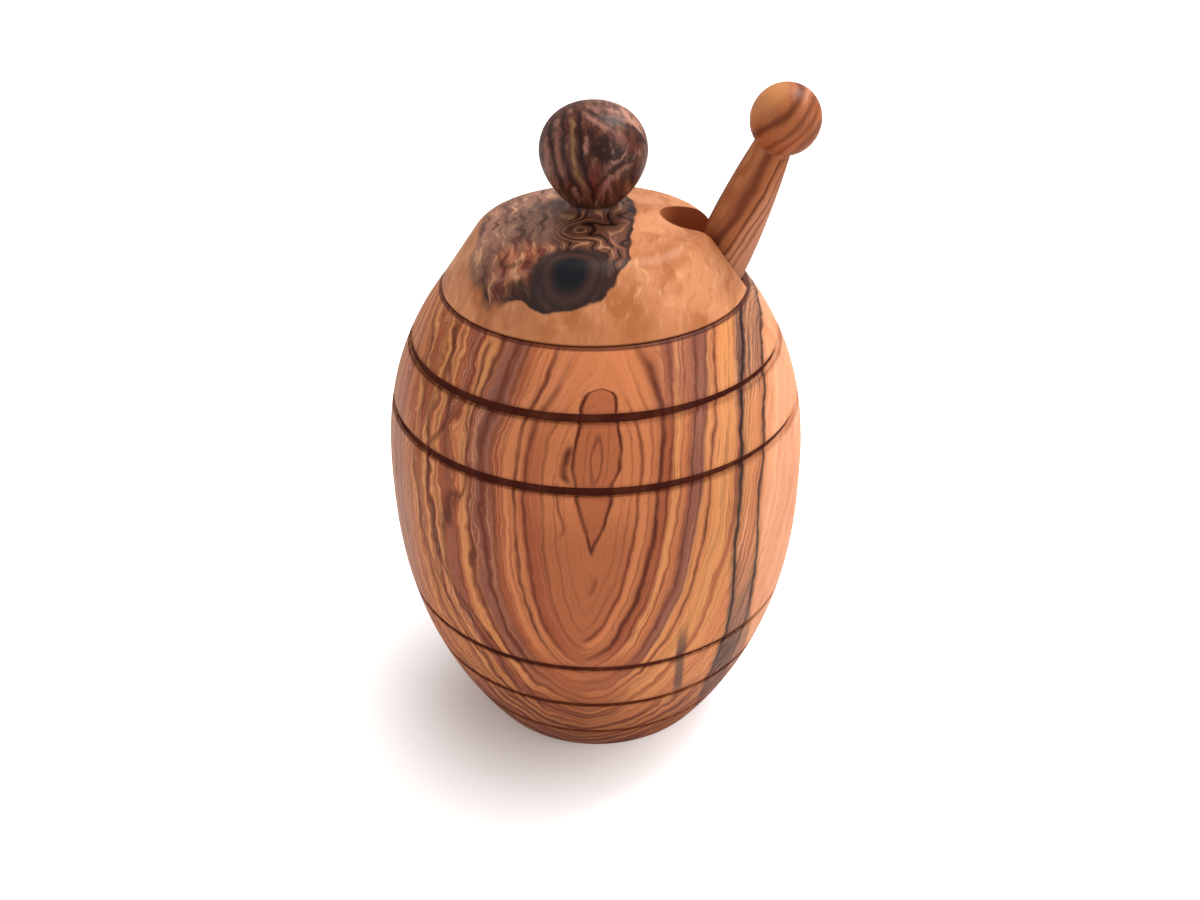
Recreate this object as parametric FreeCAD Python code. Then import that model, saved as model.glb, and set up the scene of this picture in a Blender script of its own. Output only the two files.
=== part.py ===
"""Turned wooden honey pot with a notched lid and a honey dipper.

Frame: millimetres, +Z up, origin at the centre of the foot on the surface it stands on.
The pot and lid are turned about Z.  The lid's notch and the leaning dipper point along +X.
Three separate pieces: pot, lid (one piece with its knob) and dipper.
"""
import FreeCAD, Part

import math
import os

# ---- Pot: barrel turned from one block --------------------------------------------------
POT_HEIGHT = 98.0              # foot to rim, where the lid sits
FOOT_DIAMETER = 54.0
BELLY_DIAMETER = 85.0
BELLY_HEIGHT = 54.0            # height of the widest ring
RIM_DIAMETER = 59.2
LOWER_FULLNESS = 2.2           # exponent of the curve from belly down to foot
UPPER_FULLNESS = 2.75          # exponent of the curve from belly up to rim
FOOT_ROUNDING = 1.0
RIM_ROUNDING = 0.35

# ---- Pot: hollow, bored and bellied behind a narrower mouth ----------------------------
FLOOR_THICKNESS = 8.5
RIM_WALL = 4.2
MOUTH_DEPTH = 7.0              # straight part of the mouth that guides the lid
BELLY_WALL = 10.5
FLOOR_WALL = 7.0               # wall at the level of the floor
FLOOR_CORNER = 6.0

# ---- Pot: turned bands ------------------------------------------------------------------
LOWER_GROOVES = 3
FIRST_GROOVE_HEIGHT = 9.6
LOWER_GROOVE_SPACING = 12.65
LOWER_GROOVE_WIDTH = 1.4
LOWER_GROOVE_DEPTH = 0.7
UPPER_GROOVES = 2
TOP_GROOVE_DROP = 10.2         # rim to the highest groove
UPPER_GROOVE_SPACING = 12.15
UPPER_GROOVE_WIDTH = 1.8
UPPER_GROOVE_DEPTH = 0.9

# ---- Lid ----------------------------------------------------------------------------------
LID_EDGE_ROUNDING = 0.35
SHOULDER_DIAMETER = 43.0       # where the lid's steep side turns into its top
SHOULDER_RISE = 11.6           # rim to that turn
SHOULDER_ROUNDING = 5.0
CROWN_RISE = 14.5              # rim to the lid's top beside the neck
SPIGOT_DEPTH = 4.0
SPIGOT_WALL = 5.0
LID_CLEARANCE = 0.4            # spigot to mouth, on the radius
DISH_RISE = 3.5                # hollow of the lid's underside above the rim

# ---- Knob, one piece with the lid ---------------------------------------------------------
NECK_DIAMETER = 9.4
NECK_COVE = 1.3
KNOB_DIAMETER = 19.9
KNOB_WIDEST_RISE = 24.9        # rim to the knob's widest ring
KNOB_UPPER_HEIGHT = 8.9
KNOB_LOWER_HEIGHT = 11.0
KNOB_UPPER_FULLNESS = 2.18
KNOB_LOWER_FULLNESS = 1.73

# ---- Dipper -------------------------------------------------------------------------------
DIPPER_LEAN = 21.4             # degrees from upright
BALL_DIAMETER = 12.9
BALL_RISE = 30.5               # rim to the ball's centre
BALL_NECK_DIAMETER = 7.1       # where the grip meets the ball
GRIP_DIAMETER = 10.7
GRIP_FULLNESS = 1.75           # exponent of the grip's taper up to the ball
STEM_DIAMETER = 7.0
GRIP_TOP_RISE = 6.0            # along the dipper, rim crossing to where the grip starts to taper up
GRIP_FOOT_DROP = 5.0           # along the dipper, rim crossing to where it starts to taper down
GRIP_TAPER = 16.0              # length of that lower taper
HEAD_DIAMETER = 20.0
HEAD_LENGTH = 28.0
HEAD_FULLNESS = 2.6
HEAD_TIP_DIAMETER = 9.0
HEAD_GROOVES = 5
HEAD_GROOVE_WIDTH = 2.2
HEAD_GROOVE_SPACING = 4.3
HEAD_CORE_DIAMETER = 8.4
RIB_ROUNDING = 0.4             # both edges of each rib of the head

# ---- Fits between the pieces --------------------------------------------------------------
SEAT_GAP = 0.3                 # dipper to the floor and to the scoop it leans in
RIM_LIP = 1.0                  # wood left outside the scoop at the rim
NOTCH_CLEARANCE = 0.55         # grip to the sides of the lid's notch
NOTCH_LENGTH = 17.2            # from the rim's outer edge inwards
CUT_OVERRUN = 1.0              # how far a cutting shape runs past the wood

foot_radius = FOOT_DIAMETER / 2
belly_radius = BELLY_DIAMETER / 2
rim_radius = RIM_DIAMETER / 2
mouth_radius = rim_radius - RIM_WALL
lean = math.radians(DIPPER_LEAN)
axis_z = FreeCAD.Vector(0, 0, 1)
curve_steps = 12


def point(radius, height):
    """A point of an outline, in the plane through the turning axis."""
    return FreeCAD.Vector(radius, 0, height)


def line(start, end):
    return Part.LineSegment(point(*start), point(*end)).toShape()


def smooth(places):
    """One smooth edge through (radius, height) places."""
    spline = Part.BSplineCurve()
    spline.interpolate([point(*place) for place in places])
    return spline.toShape()


def turned(edges):
    """Solid turned about Z from an outline that starts and ends on the axis."""
    outline = Part.Face(Part.Wire(edges))
    return outline.revolve(FreeCAD.Vector(0, 0, 0), axis_z, 360)


def rounded(solid, radius, places):
    """Round the circular edges that pass through the given (radius, height) places."""
    near = 0.02
    edges = [edge for edge in solid.Edges
             if any(edge.distToShape(Part.Vertex(point(*place)))[0] < near for place in places)
             and isinstance(edge.Curve, Part.Circle)]
    return solid.makeFillet(radius, edges)


def barrel_radius(height, low, middle, high, middle_height, low_height, high_height):
    """Radius of a barrel curve: low end, widest ring and high end joined by power curves."""
    if height < middle_height:
        share = (middle_height - height) / (middle_height - low_height)
        return middle - (middle - low) * share ** LOWER_FULLNESS
    share = (height - middle_height) / (high_height - middle_height)
    return middle - (middle - high) * share ** UPPER_FULLNESS


def outer_radius(height):
    return barrel_radius(height, foot_radius, belly_radius, rim_radius,
                         BELLY_HEIGHT, 0, POT_HEIGHT)


def steps(start, end, count=curve_steps):
    return [start + (end - start) * index / count for index in range(count + 1)]


def grooves():
    """(height, width, depth) of every turned band, from the foot up."""
    lower = [(FIRST_GROOVE_HEIGHT + LOWER_GROOVE_SPACING * index,
              LOWER_GROOVE_WIDTH, LOWER_GROOVE_DEPTH) for index in range(LOWER_GROOVES)]
    upper = [(POT_HEIGHT - TOP_GROOVE_DROP - UPPER_GROOVE_SPACING * index,
              UPPER_GROOVE_WIDTH, UPPER_GROOVE_DEPTH) for index in range(UPPER_GROOVES)]
    return sorted(lower + upper)


def groove_outline(height, width, depth):
    """Lower lip, bottom and upper lip of a groove cut square to the barrel's curve."""
    reach = 0.5
    slope = math.atan2(outer_radius(height + reach) - outer_radius(height - reach), 2 * reach)
    half_rise = width / 2 * math.cos(slope)
    lips = [(outer_radius(height + rise), height + rise) for rise in (-half_rise, half_rise)]
    bottom = (outer_radius(height) - depth * math.cos(slope), height + depth * math.sin(slope))
    return lips[0], bottom, lips[1]


def band(start, end):
    """Barrel curve between two heights."""
    return smooth([(outer_radius(height), height) for height in steps(start, end)])


def cavity():
    """Hollow of the pot, up to past the rim."""
    floor_radius = outer_radius(FLOOR_THICKNESS) - FLOOR_WALL
    hollow_belly = belly_radius - BELLY_WALL
    mouth_foot = POT_HEIGHT - MOUTH_DEPTH
    wall = [(barrel_radius(height, floor_radius, hollow_belly, mouth_radius,
                           BELLY_HEIGHT, FLOOR_THICKNESS, mouth_foot), height)
            for height in steps(FLOOR_THICKNESS, mouth_foot)]
    above = POT_HEIGHT + CUT_OVERRUN
    solid = turned([line((0, FLOOR_THICKNESS), wall[0]), smooth(wall),
                    line(wall[-1], (mouth_radius, above)), line((mouth_radius, above), (0, above)),
                    line((0, above), (0, FLOOR_THICKNESS))])
    return rounded(solid, FLOOR_CORNER, [wall[0]])


def pot():
    outline = [line((0, 0), (foot_radius, 0))]
    top = 0
    for groove in grooves():
        lower_lip, bottom, upper_lip = groove_outline(*groove)
        outline.append(band(top, lower_lip[1]))
        outline.append(Part.Arc(point(*lower_lip), point(*bottom), point(*upper_lip)).toShape())
        top = upper_lip[1]
    outline.append(band(top, POT_HEIGHT))
    outline.append(line((rim_radius, POT_HEIGHT), (0, POT_HEIGHT)))
    outline.append(line((0, POT_HEIGHT), (0, 0)))
    solid = turned(outline)
    solid = rounded(solid, FOOT_ROUNDING, [(foot_radius, 0)])
    solid = rounded(solid, RIM_ROUNDING, [(rim_radius, POT_HEIGHT)])
    return solid.cut(cavity()).cut(leaning(grip(SEAT_GAP)))


def knob_outline():
    """Places up the knob, from its neck to its top."""
    knob_radius = KNOB_DIAMETER / 2
    middle = POT_HEIGHT + KNOB_WIDEST_RISE
    neck_share = (NECK_DIAMETER / KNOB_DIAMETER) ** KNOB_LOWER_FULLNESS
    neck_drop = KNOB_LOWER_HEIGHT * (1 - neck_share) ** (1 / KNOB_LOWER_FULLNESS)
    lowest = math.asin((neck_drop / KNOB_LOWER_HEIGHT) ** (KNOB_LOWER_FULLNESS / 2))
    lower = [(knob_radius * math.cos(turn) ** (2 / KNOB_LOWER_FULLNESS),
              middle - KNOB_LOWER_HEIGHT * math.sin(turn) ** (2 / KNOB_LOWER_FULLNESS))
             for turn in steps(lowest, 0, 8)]
    upper = [(knob_radius * math.cos(turn) ** (2 / KNOB_UPPER_FULLNESS),
              middle + KNOB_UPPER_HEIGHT * math.sin(turn) ** (2 / KNOB_UPPER_FULLNESS))
             for turn in steps(0, math.pi / 2, 8)]
    upper[-1] = (0, middle + KNOB_UPPER_HEIGHT)
    return lower + upper[1:]


def lid():
    neck_radius = NECK_DIAMETER / 2
    spigot_radius = mouth_radius - LID_CLEARANCE
    dish_radius = spigot_radius - SPIGOT_WALL
    spigot_foot = POT_HEIGHT - SPIGOT_DEPTH
    dish_top = POT_HEIGHT + DISH_RISE
    shoulder = (SHOULDER_DIAMETER / 2, POT_HEIGHT + SHOULDER_RISE)
    crown = (neck_radius, POT_HEIGHT + CROWN_RISE)
    knob = knob_outline()
    dish_depth = dish_top - spigot_foot
    dish_sphere = (dish_radius ** 2 + dish_depth ** 2) / (2 * dish_depth)
    half_way = dish_radius / 2
    dish_middle = dish_top - dish_sphere + math.sqrt(dish_sphere ** 2 - half_way ** 2)
    dish = Part.Arc(point(0, dish_top), point(half_way, dish_middle),
                    point(dish_radius, spigot_foot)).toShape()
    solid = turned([dish,
                    line((dish_radius, spigot_foot), (spigot_radius, spigot_foot)),
                    line((spigot_radius, spigot_foot), (spigot_radius, POT_HEIGHT)),
                    line((spigot_radius, POT_HEIGHT), (rim_radius, POT_HEIGHT)),
                    line((rim_radius, POT_HEIGHT), shoulder),
                    line(shoulder, crown),
                    line(crown, knob[0]),
                    smooth(knob),
                    line(knob[-1], (0, dish_top))])
    solid = rounded(solid, SHOULDER_ROUNDING, [shoulder])
    solid = rounded(solid, NECK_COVE, [crown])
    solid = rounded(solid, LID_EDGE_ROUNDING, [(rim_radius, POT_HEIGHT)])
    return solid.cut(notch())


def notch():
    """Slot from the rim inwards with a round inner end, as wide as the grip needs."""
    half_width = GRIP_DIAMETER / 2 + NOTCH_CLEARANCE
    inner = rim_radius - NOTCH_LENGTH + half_width
    foot = POT_HEIGHT - SPIGOT_DEPTH - CUT_OVERRUN
    height = CROWN_RISE + SPIGOT_DEPTH + 2 * CUT_OVERRUN
    end = Part.makeCylinder(half_width, height, FreeCAD.Vector(inner, 0, foot))
    run = Part.makeBox(rim_radius, 2 * half_width, height, FreeCAD.Vector(inner, -half_width, foot))
    return end.fuse(run)


def head_radius(along):
    """Radius of the dipper's ribbed head at a distance from its tip."""
    middle = HEAD_LENGTH / 2
    end = HEAD_TIP_DIAMETER / 2
    share = abs(along - middle) / middle
    return end + (HEAD_DIAMETER / 2 - end) * (1 - share ** HEAD_FULLNESS)


def tip_height():
    """Height of the tip's centre when the leaning head rests SEAT_GAP above the floor."""
    lowest = min(along * math.cos(lean) - head_radius(along) * math.sin(lean)
                 for along in steps(0, HEAD_LENGTH, 200))
    return FLOOR_THICKNESS + SEAT_GAP - lowest


def rim_crossing():
    """Distance from the dipper's tip to where its axis crosses the rim's plane."""
    return (POT_HEIGHT - tip_height()) / math.cos(lean)


def leaning(shape):
    """Lean a shape made about the dipper's own axis into its place in the pot."""
    grip_reach = (GRIP_DIAMETER / 2 + SEAT_GAP) / math.cos(lean)
    crossing_x = rim_radius - RIM_LIP - grip_reach
    placed = shape.copy()
    placed.rotate(FreeCAD.Vector(0, 0, 0), FreeCAD.Vector(0, 1, 0), DIPPER_LEAN)
    tip_x = crossing_x - (POT_HEIGHT - tip_height()) * math.tan(lean)
    placed.translate(FreeCAD.Vector(tip_x, 0, tip_height()))
    return placed


def grip(extra):
    """Thick part of the dipper from its stem to under the ball, grown by extra all round."""
    crossing = rim_crossing()
    ball_radius = BALL_DIAMETER / 2
    neck_radius = BALL_NECK_DIAMETER / 2
    ball_centre = crossing + BALL_RISE / math.cos(lean)
    ball_foot = ball_centre - math.sqrt(ball_radius ** 2 - neck_radius ** 2)
    top = crossing + GRIP_TOP_RISE
    foot = crossing - GRIP_FOOT_DROP
    stem_top = foot - GRIP_TAPER
    grip_radius = GRIP_DIAMETER / 2
    swell_depth = (GRIP_DIAMETER - STEM_DIAMETER) / 2
    swell = [(grip_radius + extra - swell_depth * (1 + math.cos(math.pi * share)) / 2,
              stem_top + GRIP_TAPER * share) for share in steps(0, 1, 8)]
    taper = [(grip_radius + extra - (grip_radius - neck_radius) * share ** GRIP_FULLNESS,
              top + (ball_foot - top) * share) for share in steps(0, 1, 6)]
    end = (neck_radius + extra, ball_centre)
    return turned([line((0, stem_top), swell[0]), smooth(swell), line(swell[-1], taper[0]),
                   smooth(taper), line(taper[-1], end), line(end, (0, ball_centre)),
                   line((0, ball_centre), (0, stem_top))])


def rib_corner(height, side):
    """Rounded corner of a rib at a groove's face; side is -1 below the groove, +1 above it."""
    start = height + side * RIB_ROUNDING
    outer = head_radius(start)
    inner = outer - RIB_ROUNDING
    part_way = RIB_ROUNDING * math.sqrt(0.5)
    corner = Part.Arc(point(outer, start), point(inner + part_way, start - side * part_way),
                      point(inner, height)).toShape()
    return corner, (outer, start), (inner, height)


def rib(start, end):
    """Outer curve of a rib between two heights."""
    return smooth([(head_radius(along), along) for along in steps(start, end, 4)])


def head():
    """Ribbed head: a barrel with deep rings that hold the honey."""
    core = HEAD_CORE_DIAMETER / 2
    first = (HEAD_LENGTH - HEAD_GROOVE_SPACING * (HEAD_GROOVES - 1) - HEAD_GROOVE_WIDTH) / 2
    outline = [line((0, 0), (head_radius(0), 0))]
    rib_start = 0
    for index in range(HEAD_GROOVES):
        foot = first + HEAD_GROOVE_SPACING * index
        top = foot + HEAD_GROOVE_WIDTH
        lower, rib_end, lower_face = rib_corner(foot, -1)
        upper, next_start, upper_face = rib_corner(top, 1)
        outline += [rib(rib_start, rib_end[1]), lower, line(lower_face, (core, foot)),
                    line((core, foot), (core, top)), line((core, top), upper_face), upper]
        rib_start = next_start[1]
    outline += [rib(rib_start, HEAD_LENGTH),
                line((head_radius(HEAD_LENGTH), HEAD_LENGTH), (0, HEAD_LENGTH)),
                line((0, HEAD_LENGTH), (0, 0))]
    return turned(outline)


def dipper():
    crossing = rim_crossing()
    ball_centre = crossing + BALL_RISE / math.cos(lean)
    stem_length = crossing - GRIP_FOOT_DROP - GRIP_TAPER - HEAD_LENGTH
    stem = Part.makeCylinder(STEM_DIAMETER / 2, stem_length, point(0, HEAD_LENGTH))
    ball = Part.makeSphere(BALL_DIAMETER / 2, point(0, ball_centre))
    solid = head().fuse([stem, grip(0), ball]).removeSplitter()
    return leaning(solid)


def main():
    os.makedirs("parts", exist_ok=True)
    for name, shape in (("pot", pot()), ("lid", lid()), ("dipper", dipper())):
        shape.exportStep("parts/" + name + ".step")
        print(name, "solids", len(shape.Solids), "valid", shape.isValid(),
              "volume in cm3", round(shape.Volume / 1000, 2))


main()
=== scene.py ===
"""Looks of a turned olive wood honey pot: barrel, lid with a burl knob, and dipper."""

import math
from functools import reduce
from types import SimpleNamespace

import bpy
from bpy.props import FloatProperty, FloatVectorProperty, PointerProperty
from mathutils import Matrix, Vector


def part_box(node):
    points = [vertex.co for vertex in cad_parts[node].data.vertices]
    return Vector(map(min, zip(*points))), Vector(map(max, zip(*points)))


bl_info = {
    "name": "Olive Wood Honey Pot",
    "version": (1, 0, 0),
    "blender": (4, 5, 0),
    "location": "3D View > Sidebar > Honey Pot",
    "description": "Finishes a turned honey pot with its lid and dipper, and sets its stage",
    "category": "Object",
}

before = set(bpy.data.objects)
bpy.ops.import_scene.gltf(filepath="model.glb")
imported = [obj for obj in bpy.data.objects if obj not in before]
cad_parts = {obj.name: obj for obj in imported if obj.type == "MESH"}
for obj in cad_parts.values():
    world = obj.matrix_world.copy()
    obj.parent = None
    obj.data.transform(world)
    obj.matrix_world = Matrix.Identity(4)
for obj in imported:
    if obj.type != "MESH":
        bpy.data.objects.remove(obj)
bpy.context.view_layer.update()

MM = 0.001
RIM_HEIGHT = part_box("pot")[1].z / MM
DIPPER_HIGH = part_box("dipper")[1]
DIPPER_LEAN = math.radians(21.4)
BALL_RADIUS = 6.45
BALL_CENTRE = (DIPPER_HIGH.x / MM - BALL_RADIUS, 0, DIPPER_HIGH.z / MM - BALL_RADIUS)

# height and depth in a plane that leans back 32 degrees, on which knob and ball are drawn
LEAN_UP, LEAN_BACK = 0.848, 0.53

# what all the woods share: the pores' width and length, the bump's depth and the shine
PORE_SIZE = (0.35, 2.6)
RELIEF_DEPTH = 0.2 * MM
SPECULAR = 0.2


def paint(code):
    """The linear colour of a six-digit colour code."""
    channels = [int(code[i:i + 2], 16) / 255 for i in (0, 2, 4)]
    return tuple(c / 12.92 if c <= 0.04045 else ((c + 0.055) / 1.055) ** 2.4 for c in channels)


def colour(name, description, code):
    """A colour property with its default written as a colour code."""
    return FloatVectorProperty(name=name, description=description, subtype="COLOR", size=3,
                               min=0, max=1, default=paint(code))


def size(name, description, default):
    """A size property in millimetres."""
    return FloatProperty(name=name, description=description + ", in millimetres",
                         default=default, min=0)


class BarrelLook(bpy.types.PropertyGroup):
    """Colours and sizes of the barrel's figured wood."""

    heart: colour("Heartwood", "Ground colour between the veins", "b7683f")
    light: colour("Light wood", "Lighter wood beside the bands", "da8453")
    gold: colour("Golden streak", "Brightest streaks at the right", "e6995c")
    brown: colour("Brown band", "Bands of denser wood", "a95735")
    deep: colour("Deep band", "Darkest brown of the bands", "6f3018")
    plum: colour("Plum band", "Purplish bands at the left", "9a5e4b")
    smoke: colour("Smoky wood", "Greyish wood between the black streaks", "9a6c58")
    vein: colour("Vein", "Thin dark lines between the rings", "561b07")
    black: colour("Black streak", "Black streaks at the right", "221214")
    soot: colour("Smoky patch", "Grey patch near the foot", "4e3c39")
    sap: colour("Sapwood", "Pale wood at the right edge", "eea276")
    # a painted reflection, lilac, along the barrel's far left edge
    lilac_reflection: colour("Lilac edge", "Greyish pink wood at the far left", "b88a7c")
    cream: colour("Cream streak", "Palest streaks of the sapwood", "f6c09a")
    foot: colour("Foot", "Darker wood towards the foot", "84421f")
    # also painted shade: the edge under the lid, and part of the grooves' darkness
    burnt_and_shade: colour("Burnt groove", "Scorched wood in the turned grooves", "4c1608")
    eye_height: size("Eye height", "Height of the middle of the nested ovals", 81)
    eye_width: size("Eye width", "Half the width of the small closed oval", 3.8)
    grooves: FloatVectorProperty(name="Grooves", size=5,
                                 description="Heights of the turned grooves, in millimetres",
                                 default=(9.6, 22.25, 34.9, 75.65, 87.8))


class LidLook(bpy.types.PropertyGroup):
    """Colours and sizes of the lid's pale wood and its burl."""

    pale: colour("Pale wood", "Ground colour of the lid", "dc9365")
    # also laid over the lid's front as painted shade
    cloud: colour("Cloud", "Deeper mottling of the lid", "b56c3d")
    stain: colour("Stain", "Brown streaks near the lid's edge", "a05f3c")
    fleck: colour("Fleck", "Small light flecks of the lid", "f0b486")
    burl: colour("Burl", "Ground colour of the burl", "6d4433")
    russet: colour("Russet burl", "Redder parts of the burl", "8a5642")
    grey: colour("Grey burl", "Greyish part of the burl", "ad7b66")
    tan: colour("Tan swirl", "Thin light swirls in the burl", "c08c68")
    ochre: colour("Ochre streak", "Yellowish streak in the knob", "8c6640")
    mauve: colour("Mauve line", "Pinkish lines in the burl", "a06c5e")
    salmon: colour("Salmon pocket", "Reddish pocket in the burl", "bf7550")
    dark: colour("Dark burl", "Darkest swirls and the burl's edge", "2a1411")
    red: colour("Red patch", "Small red patch in the knob", "6b2a22")
    halo: colour("Halo", "Bluish wood round the knot", "32211f")
    knot: colour("Knot", "Round blue-black knot", "14151b")
    cut: colour("Cut", "Wood inside the cut for the dipper", "b8693f")
    # painted shade in the gap where the lid sits on the barrel
    seam: colour("Seam", "Scorched line where the lid meets the barrel", "6a2c12")
    walnut: colour("Knob wood", "Ground colour of the knob", "5c3023")
    blush: colour("Blush", "Pinkish sheen of the knob's upper right", "c28c78")
    knot_radius: size("Knot radius", "Radius of the round knot", 3.4)


class DipperLook(bpy.types.PropertyGroup):
    """Colours of the dipper's plain wood."""

    body: colour("Dipper wood", "Ground colour of the dipper", "af643b")
    light: colour("Light grain", "Lighter grain of the dipper", "d08852")
    streak: colour("Dark grain", "Darker streaks along the dipper", "62270d")
    sheen: colour("Sheen", "Pinkish light streaks", "c98a6c")
    slant: FloatProperty(name="Slant", description="Angle between the streaks and the grip",
                         default=math.radians(10), subtype="ANGLE")


class StageLook(bpy.types.PropertyGroup):
    """Camera and lamps."""

    lens: FloatProperty(name="Lens", description="Focal length of the camera", default=34.5,
                        min=1, unit="CAMERA")
    distance: FloatProperty(name="Distance", description="How far in front the camera stands",
                            default=0.20564, subtype="DISTANCE")
    height: FloatProperty(name="Height", description="How high the camera stands",
                          default=0.18782, subtype="DISTANCE")
    pitch: FloatProperty(name="Pitch", description="How far the camera looks down",
                         default=math.radians(32.076), subtype="ANGLE")
    yaw: FloatProperty(name="Yaw", description="How far the camera looks aside",
                       default=math.radians(-0.231), subtype="ANGLE")
    roll: FloatProperty(name="Roll", description="How far the camera leans",
                        default=math.radians(-0.391), subtype="ANGLE")
    key: FloatProperty(name="Key light", description="Power of the large lamp above",
                       default=5.2, min=0, unit="POWER")
    side: FloatProperty(name="Side light", description="Power of the lamp at the right",
                        default=2.4, min=0, unit="POWER")
    left: FloatProperty(name="Left light", description="Power of the weak lamp at the left",
                        default=1.6, min=0, unit="POWER")
    room: FloatProperty(name="Room light", description="Strength of the light from all around",
                        default=0.46, min=0)


class Wire:
    """A socket of a node tree, which adds Math nodes when it is used in an expression."""

    def __init__(self, tree, socket):
        self.tree = tree
        self.socket = socket

    def maths(self, operation, first, second=0.0):
        return self.tree.add("ShaderNodeMath", {"operation": operation}, {0: first, 1: second})

    def __add__(self, other):
        return self.maths("ADD", self, other)

    def __sub__(self, other):
        return self.maths("SUBTRACT", self, other)

    def __rsub__(self, other):
        return self.maths("SUBTRACT", other, self)

    def __mul__(self, other):
        return self.maths("MULTIPLY", self, other)

    def __truediv__(self, other):
        return self.maths("DIVIDE", self, other)

    def __pow__(self, other):
        return self.maths("POWER", self, other)

    def __abs__(self):
        return self.maths("ABSOLUTE", self)

    __radd__ = __add__
    __rmul__ = __mul__

    def most(self, other):
        """The larger of two values."""
        return self.maths("MAXIMUM", self, other)

    def least(self, other):
        """The smaller of two values."""
        return self.maths("MINIMUM", self, other)

    def fold(self, length):
        """The value run up to a length and back down again, over and over."""
        return self.maths("PINGPONG", self, length)

    def angle(self, across):
        """The angle whose rise is this value and whose run is the other."""
        return self.maths("ARCTAN2", self, across)


def reach(across, along):
    """The distance of a point from where both wires are 0."""
    return (across * across + along * along) ** 0.5


def gap(x, y, centre, squash=1.0):
    """The distance from a centre, counted more along y by a squash."""
    return reach(x - centre[0], (y - centre[1]) * squash)


class NodeSheet:
    """A node tree, with the one way in which nodes are added to it."""

    def __init__(self, tree):
        self.nodes = tree.nodes
        self.links = tree.links

    def add(self, kind, settings=None, sockets=None, output=0):
        """Adds a node: its settings come first, then the values or links of its sockets."""
        node = self.nodes.new(kind)
        for name, value in (settings or {}).items():
            if name == "stops":
                self.set_stops(node.color_ramp, value)
            elif name == "points":
                self.set_points(node.mapping, value)
            else:
                setattr(node, name, value)
        for name, value in (sockets or {}).items():
            self.feed(node.inputs[name], value)
        return Wire(self, node.outputs[output])

    def feed(self, socket, value):
        """Links a wire to a socket, or sets the socket's own value."""
        if isinstance(value, Wire):
            self.links.new(value.socket, socket)
        else:
            socket.default_value = value

    def set_stops(self, ramp, stops):
        """Gives a colour ramp its stops, each a place from 0 to 1 and a colour."""
        while len(ramp.elements) < len(stops):
            ramp.elements.new(1.0)
        for element, (place, tone) in zip(ramp.elements, stops):
            element.position = place
            element.color = (*tone, 1)

    def set_points(self, mapping, points):
        """Gives a Float Curve its points, each from 0 to 1 both ways."""
        curve = mapping.curves[0]
        while len(curve.points) < len(points):
            curve.points.new(0.5, 0.5)
        for point, place in zip(curve.points, points):
            point.location = place
        mapping.update()


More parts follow.
